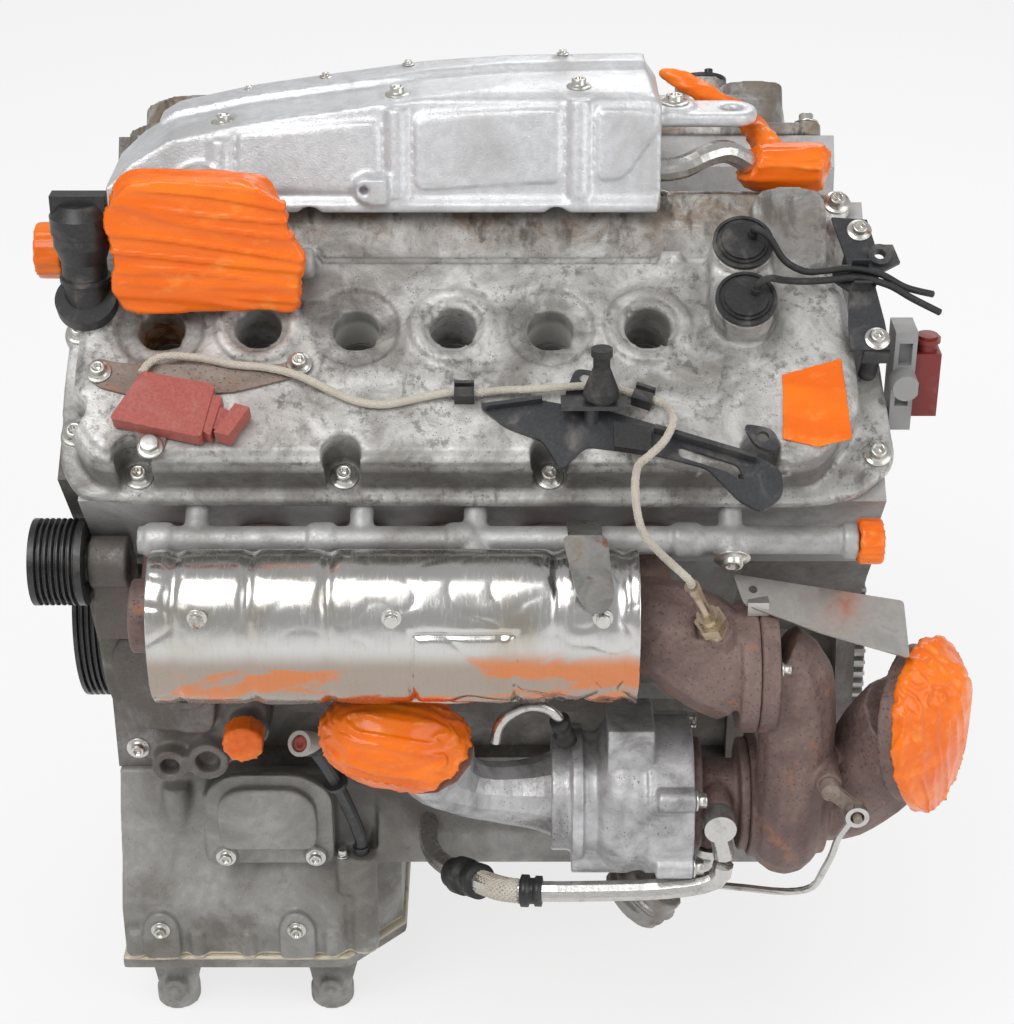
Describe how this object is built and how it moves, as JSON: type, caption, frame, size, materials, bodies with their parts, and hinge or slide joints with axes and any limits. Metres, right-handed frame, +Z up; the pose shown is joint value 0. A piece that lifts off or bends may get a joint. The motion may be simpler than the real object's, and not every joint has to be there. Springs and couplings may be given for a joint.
{
  "type": "car engine",
  "caption": "V engine with narrow-angle banks, twin turbochargers under polished heat shields, cast cam covers, intake plenum on top and taped ports.",
  "frame": {"origin": "on the crankshaft axis at the gearbox face", "axes": "+X to the rear, out of the gearbox face; -Y to the left bank; +Z up"},
  "size_m": [0.6747, 0.7276, 0.7559],
  "materials": {
    "block_alloy": "rough cast",
    "case_alloy": "rough cast, oily",
    "pan_alloy": "cast, dirty",
    "head_alloy": "cast",
    "cover_alloy": "weathered cast, stained",
    "piston_alloy": "machined",
    "forged_steel": "ground",
    "pulley_black": "satin black",
    "flywheel_iron": "machined",
    "intake_alloy": "fine cast",
    "black_plastic": "matt",
    "tube_steel": "drawn",
    "rail_alloy": "cast",
    "exhaust_iron": "heat-browned",
    "shield_steel": "thin, bright, crumpled",
    "compressor_alloy": "fine cast",
    "lever_steel": "heat-browned",
    "canister_steel": "dull plated",
    "sheet_steel": "dull",
    "module_red": "matt",
    "lead_braid": "braided sleeve",
    "probe_steel": "heat-tinted",
    "black_rubber": "matt",
    "bracket_black": "satin black",
    "bolt_steel": "zinc plated",
    "tape_orange": "glossy, wrinkled"
  },
  "bodies": {
    "engine": {"crankcase": "block_alloy", "bedplate": "case_alloy", "oil_pan_upper": "pan_alloy", "oil_pan_lower": "pan_alloy", "pan_service_cover": "pan_alloy", "timing_case": "case_alloy", "front_cover": "case_alloy", "cylinder_head_left": "head_alloy", "cylinder_head_right": "head_alloy", "cam_cover_left": "cover_alloy", "cam_cover_right": "cover_alloy", "pistons": "piston_alloy", "accessory_bracket": "case_alloy", "intake_manifold": "intake_alloy", "plenum": "intake_alloy", "throttle_neck": "head_alloy", "oil_filler_neck": "black_plastic", "coolant_outlet": "tube_steel", "coolant_rails": "rail_alloy", "exhaust_manifold_left": "exhaust_iron", "exhaust_manifold_right": "exhaust_iron", "heat_shield_left": "shield_steel", "heat_shield_right": "shield_steel", "turbine_housing_left": "exhaust_iron", "turbine_housing_right": "exhaust_iron", "bearing_housings": "exhaust_iron", "compressor_housing_left": "compressor_alloy", "compressor_housing_right": "compressor_alloy", "wastegate_actuators": "canister_steel", "turbine_shields": "sheet_steel", "turbo_oil_pipes": "tube_steel", "compressor_inlet_pipes": "compressor_alloy", "probe_module": "module_red", "probe_lead": "lead_braid", "exhaust_probe": "probe_steel", "lead_clips": "black_plastic", "adjuster_valves": "black_plastic", "valve_leads": "black_rubber", "harness_bracket": "bracket_black", "rear_connectors": "black_plastic", "cover_stud": "black_rubber", "cover_brackets": "bracket_black", "fasteners": "bolt_steel", "dipstick_tube": "bracket_black", "port_tape": "tape_orange"},
    "crank": {"crankshaft": "forged_steel", "crank_pulley": "pulley_black", "flywheel": "flywheel_iron"},
    "cam_exhaust_left": {"exhaust_camshaft_left": "forged_steel"},
    "cam_intake_left": {"intake_camshaft_left": "forged_steel"},
    "cam_exhaust_right": {"exhaust_camshaft_right": "forged_steel"},
    "cam_intake_right": {"intake_camshaft_right": "forged_steel"},
    "accessory_drive": {"accessory_pulley": "pulley_black"},
    "turbo_left": {"turbo_rotor_left": "forged_steel"},
    "turbo_right": {"turbo_rotor_right": "forged_steel"},
    "gate_lever_left": {"wastegate_lever_left": "lever_steel"},
    "gate_lever_right": {"wastegate_lever_right": "lever_steel"},
    "gate_rod_left": {"wastegate_rod_left": "tube_steel"},
    "gate_rod_right": {"wastegate_rod_right": "tube_steel"},
    "filler_cap": {"oil_filler_cap": "black_plastic"}
  },
  "joints": [
    {"name": "crank_spin", "type": "hinge", "parent": "engine", "child": "crank", "pos_m": [0, 0, 0], "axis": [1, 0, 0], "continuous": true},
    {"name": "cam_exhaust_left_spin", "type": "hinge", "parent": "engine", "child": "cam_exhaust_left", "pos_m": [-0.3, -0.22706, 0.26148], "axis": [1, 0, 0], "continuous": true},
    {"name": "cam_intake_left_spin", "type": "hinge", "parent": "engine", "child": "cam_intake_left", "pos_m": [-0.3, -0.13806, 0.32613], "axis": [1, 0, 0], "continuous": true},
    {"name": "cam_exhaust_right_spin", "type": "hinge", "parent": "engine", "child": "cam_exhaust_right", "pos_m": [-0.3, 0.22706, 0.26148], "axis": [1, 0, 0], "continuous": true},
    {"name": "cam_intake_right_spin", "type": "hinge", "parent": "engine", "child": "cam_intake_right", "pos_m": [-0.3, 0.13806, 0.32613], "axis": [1, 0, 0], "continuous": true},
    {"name": "accessory_spin", "type": "hinge", "parent": "engine", "child": "accessory_drive", "pos_m": [-0.548, -0.25, 0.176], "axis": [1, 0, 0], "continuous": true},
    {"name": "turbo_spin_left", "type": "hinge", "parent": "engine", "child": "turbo_left", "pos_m": [-0.1, -0.282, 0.006], "axis": [1, 0, 0], "continuous": true},
    {"name": "turbo_spin_right", "type": "hinge", "parent": "engine", "child": "turbo_right", "pos_m": [-0.1, 0.282, 0.006], "axis": [1, 0, 0], "continuous": true},
    {"name": "gate_lever_left_turn", "type": "hinge", "parent": "engine", "child": "gate_lever_left", "pos_m": [-0.044, -0.346, 0.056], "axis": [0, -1, 0], "range_deg": [0, 12]},
    {"name": "gate_rod_left_slide", "type": "slide", "parent": "engine", "child": "gate_rod_left", "axis": [0.6614, 0, 0.75], "range_m": [0, 0.0052]},
    {"name": "gate_lever_right_turn", "type": "hinge", "parent": "engine", "child": "gate_lever_right", "pos_m": [-0.044, 0.346, 0.056], "axis": [0, -1, 0], "range_deg": [0, 12]},
    {"name": "gate_rod_right_slide", "type": "slide", "parent": "engine", "child": "gate_rod_right", "axis": [0.6614, 0, 0.75], "range_m": [0, 0.0052]},
    {"name": "filler_cap_turn", "type": "hinge", "parent": "engine", "child": "filler_cap", "pos_m": [-0.542, -0.19643, 0.34182], "axis": [0, 0, 1], "range_deg": [0, 90]}
  ],
  "couplings": [
    {"joint": "cam_exhaust_left_spin", "follows": "crank_spin", "ratio": 0.5},
    {"joint": "cam_intake_left_spin", "follows": "crank_spin", "ratio": 0.5},
    {"joint": "cam_exhaust_right_spin", "follows": "crank_spin", "ratio": 0.5},
    {"joint": "cam_intake_right_spin", "follows": "crank_spin", "ratio": 0.5},
    {"joint": "gate_rod_left_slide", "follows": "gate_lever_left_turn", "m_per_rad": 0.024},
    {"joint": "gate_rod_right_slide", "follows": "gate_lever_right_turn", "m_per_rad": 0.024}
  ]
}
